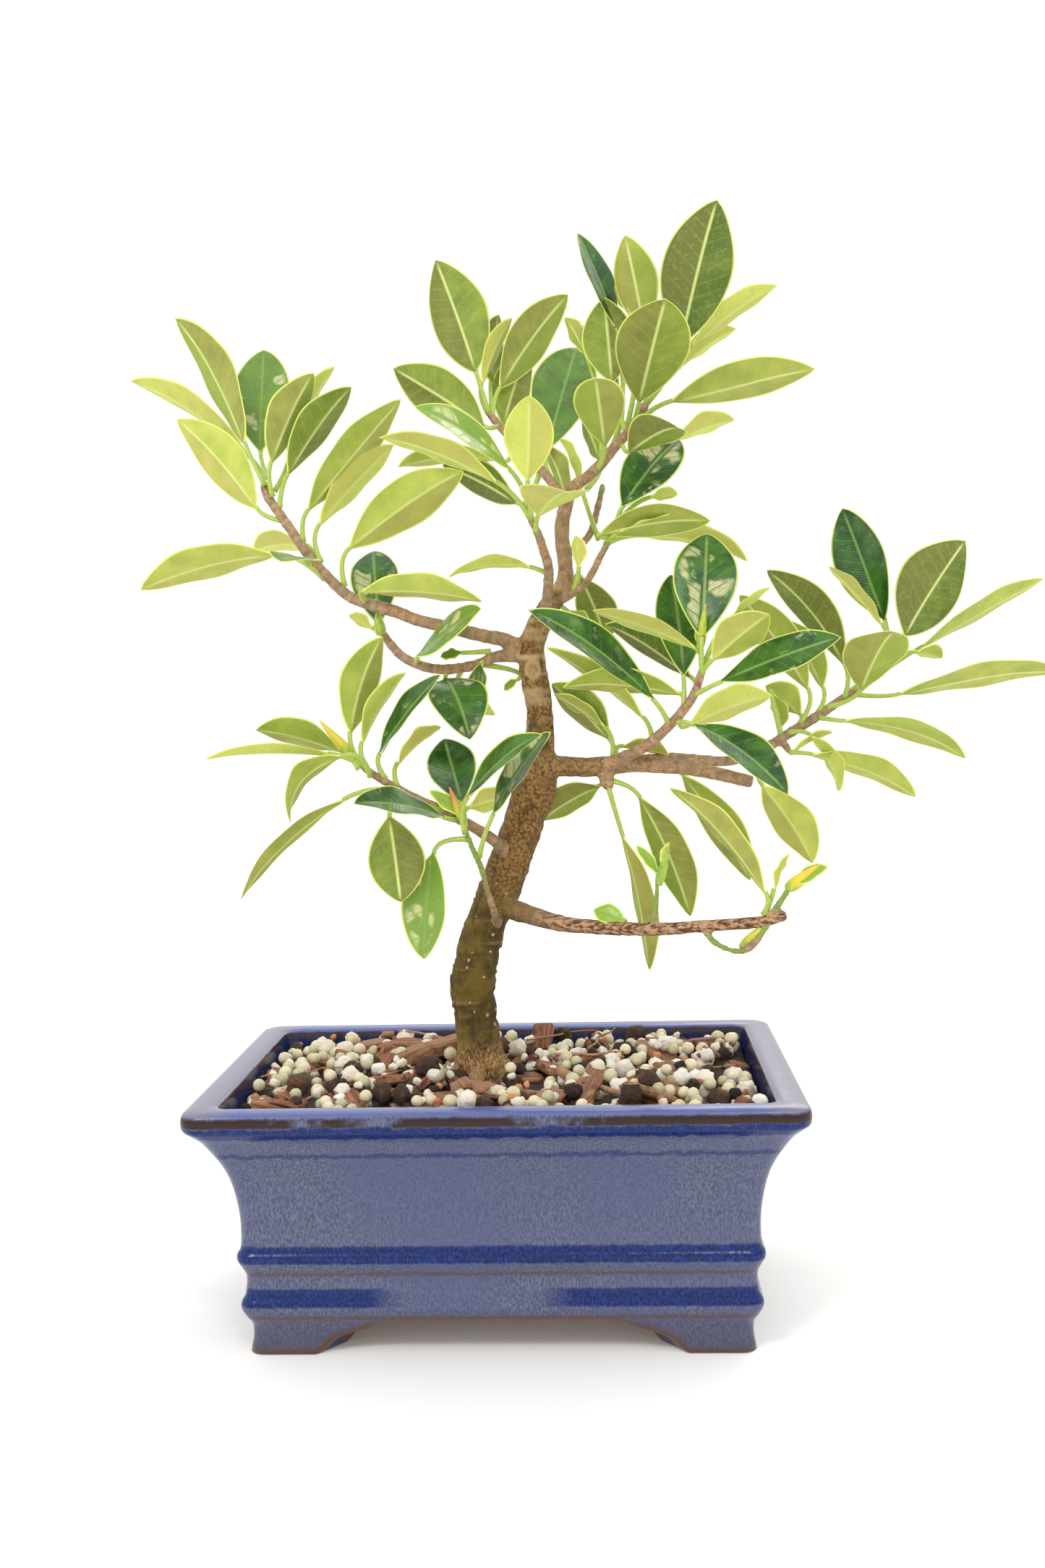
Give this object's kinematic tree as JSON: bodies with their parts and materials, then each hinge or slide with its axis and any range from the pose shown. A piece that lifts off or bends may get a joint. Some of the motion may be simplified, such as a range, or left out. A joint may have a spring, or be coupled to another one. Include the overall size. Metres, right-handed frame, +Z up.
{
  "type": "bonsai tree in a pot",
  "caption": "Small broad-leaved fig bonsai with an S-shaped trunk, planted in a rectangular glazed pot with a flared rim and four feet.",
  "frame": {"origin": "bottom centre of the whole object's bounding box, on the plane under the pot's feet", "axes": "+Z up; the front of the pot faces -Y and +X is to its right"},
  "size_m": [0.3664, 0.1578, 0.3888],
  "materials": {
    "glazed_pot": "mottled slate-blue gloss glaze with cobalt bands and brown edges",
    "potting_mix": "loose bark, lava and perlite, matte",
    "bark": "rough, matte, with pale pores",
    "leaf": "leathery, waxy sheen above, matte below",
    "drain_screen": "moulded plastic mesh",
    "bark_chip": "fibrous, matte",
    "lava": "porous, matte",
    "perlite": "chalky, matte"
  },
  "bodies": {
    "root": {"bark_chip": "bark_chip", "drain_screen_left": "drain_screen", "drain_screen_right": "drain_screen", "lava_lump": "lava", "leaf_crown_front_1": "leaf", "leaf_crown_front_2": "leaf", "leaf_crown_left_1": "leaf", "leaf_crown_left_2": "leaf", "leaf_crown_left_3": "leaf", "leaf_crown_left_4": "leaf", "leaf_crown_right_1": "leaf", "leaf_crown_right_2": "leaf", "leaf_crown_right_3": "leaf", "leaf_crown_right_4": "leaf", "leaf_crown_right_5": "leaf", "leaf_crown_right_6": "leaf", "leaf_crown_side_1": "leaf", "leaf_far_right_1": "leaf", "leaf_far_right_2": "leaf", "leaf_far_right_3": "leaf", "leaf_far_right_4": "leaf", "leaf_far_right_5": "leaf", "leaf_far_right_6": "leaf", "leaf_far_right_7": "leaf", "leaf_far_right_8": "leaf", "leaf_far_right_9": "leaf", "leaf_front_twig_1": "leaf", "leaf_front_twig_2": "leaf", "leaf_front_twig_3": "leaf", "leaf_left_1": "leaf", "leaf_left_2": "leaf", "leaf_left_3": "leaf", "leaf_left_4": "leaf", "leaf_low_right_1": "leaf", "leaf_lower_left_1": "leaf", "leaf_lower_left_2": "leaf", "leaf_lower_left_3": "leaf", "leaf_lower_left_4": "leaf", "leaf_lower_left_5": "leaf", "leaf_lower_left_6": "leaf", "leaf_right_knob_1": "leaf", "leaf_right_knob_2": "leaf", "leaf_right_shoot_1": "leaf", "leaf_right_shoot_2": "leaf", "leaf_right_shoot_3": "leaf", "leaf_right_shoot_4": "leaf", "leaf_right_shoot_5": "leaf", "leaf_upper_left_1": "leaf", "leaf_upper_left_2": "leaf", "leaf_upper_left_3": "leaf", "leaf_upper_left_4": "leaf", "leaf_upper_left_5": "leaf", "leaf_upper_left_6": "leaf", "leaf_upper_left_7": "leaf", "leaf_upper_left_8": "leaf", "perlite_lump": "perlite", "pot": "glazed_pot", "potting_mix": "potting_mix", "trunk_and_branches": "bark"}
  },
  "joints": []
}
